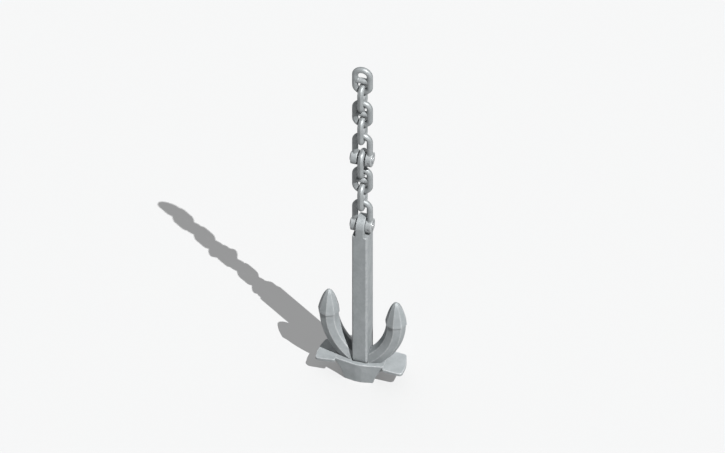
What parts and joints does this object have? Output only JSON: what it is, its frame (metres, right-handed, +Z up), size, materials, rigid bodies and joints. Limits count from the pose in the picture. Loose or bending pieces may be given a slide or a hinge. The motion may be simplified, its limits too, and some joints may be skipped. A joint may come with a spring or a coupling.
{
  "type": "anchor",
  "caption": "Stockless anchor with a tilting two-armed head, hung from a short stud-link chain by a D-shackle, with another D-shackle joining the chain.",
  "frame": {"origin": "the point inside the top link where the hook that carries the whole chain and anchor bears", "axes": "+Z up along the hanging chain and the shank; +X along the crown, across both arms and along the shackle bolts; +Y front to back, the way the head tilts"},
  "size_m": [0.357, 0.126, 1.6088],
  "materials": {
    "chain_steel": "satin, hot-dip galvanised",
    "stud_steel": "satin, hot-dip galvanised",
    "shackle_steel": "satin, hot-dip galvanised",
    "pin_steel": "satin, machined and galvanised",
    "shank_steel": "smooth matt grey, galvanised cast steel",
    "head_steel": "smooth matt grey, galvanised cast steel"
  },
  "bodies": {
    "link_1": {"link_1": "chain_steel", "stud_1": "stud_steel"},
    "link_2": {"link_2": "chain_steel", "stud_2": "stud_steel"},
    "link_3": {"link_3": "chain_steel", "stud_3": "stud_steel"},
    "link_4": {"link_4": "chain_steel", "stud_4": "stud_steel"},
    "joining_shackle": {"joining_shackle_bow": "shackle_steel", "joining_shackle_bolt": "pin_steel", "joining_shackle_spile_pin": "pin_steel"},
    "link_5": {"link_5": "chain_steel", "stud_5": "stud_steel"},
    "link_6": {"link_6": "chain_steel", "stud_6": "stud_steel"},
    "link_7": {"link_7": "chain_steel", "stud_7": "stud_steel"},
    "anchor_shackle": {"anchor_shackle_bow": "shackle_steel", "anchor_shackle_bolt": "pin_steel", "anchor_shackle_spile_pin": "pin_steel"},
    "shank": {"shank": "shank_steel"},
    "head": {"head_casting": "head_steel", "crown_pin": "pin_steel", "cross_pin_right": "pin_steel", "cross_pin_left": "pin_steel"}
  },
  "joints": [
    {"name": "link_1_to_link_2", "type": "hinge", "parent": "link_1", "child": "link_2", "pos_m": [0, 0, -0.0995], "axis": [1, 0, 0], "range_deg": [-60, 60]},
    {"name": "link_2_to_link_3", "type": "hinge", "parent": "link_2", "child": "link_3", "pos_m": [0, 0, -0.1861], "axis": [0, 1, 0], "range_deg": [-60, 60]},
    {"name": "link_3_to_link_4", "type": "hinge", "parent": "link_3", "child": "link_4", "pos_m": [0, 0, -0.2727], "axis": [-1, 0, 0], "range_deg": [-60, 60]},
    {"name": "link_4_to_joining_shackle", "type": "hinge", "parent": "link_4", "child": "joining_shackle", "pos_m": [0, 0, -0.3593], "axis": [0, -1, 0], "range_deg": [-60, 60]},
    {"name": "joining_bolt_to_link_5", "type": "hinge", "parent": "joining_shackle", "child": "link_5", "pos_m": [0, 0, -0.4524], "axis": [1, 0, 0], "range_deg": [-80, 80]},
    {"name": "link_5_to_link_6", "type": "hinge", "parent": "link_5", "child": "link_6", "pos_m": [0, 0, -0.5375], "axis": [0, 1, 0], "range_deg": [-60, 60]},
    {"name": "link_6_to_link_7", "type": "hinge", "parent": "link_6", "child": "link_7", "pos_m": [0, 0, -0.6241], "axis": [-1, 0, 0], "range_deg": [-60, 60]},
    {"name": "link_7_to_anchor_shackle", "type": "hinge", "parent": "link_7", "child": "anchor_shackle", "pos_m": [0, 0, -0.7107], "axis": [0, -1, 0], "range_deg": [-60, 60]},
    {"name": "anchor_bolt_to_shank", "type": "hinge", "parent": "anchor_shackle", "child": "shank", "pos_m": [0, 0, -0.8038], "axis": [1, 0, 0], "range_deg": [-80, 80]},
    {"name": "shank_to_head", "type": "hinge", "parent": "shank", "child": "head", "pos_m": [0, 0, -1.4798], "axis": [-1, 0, 0], "range_deg": [-35, 35]}
  ]
}
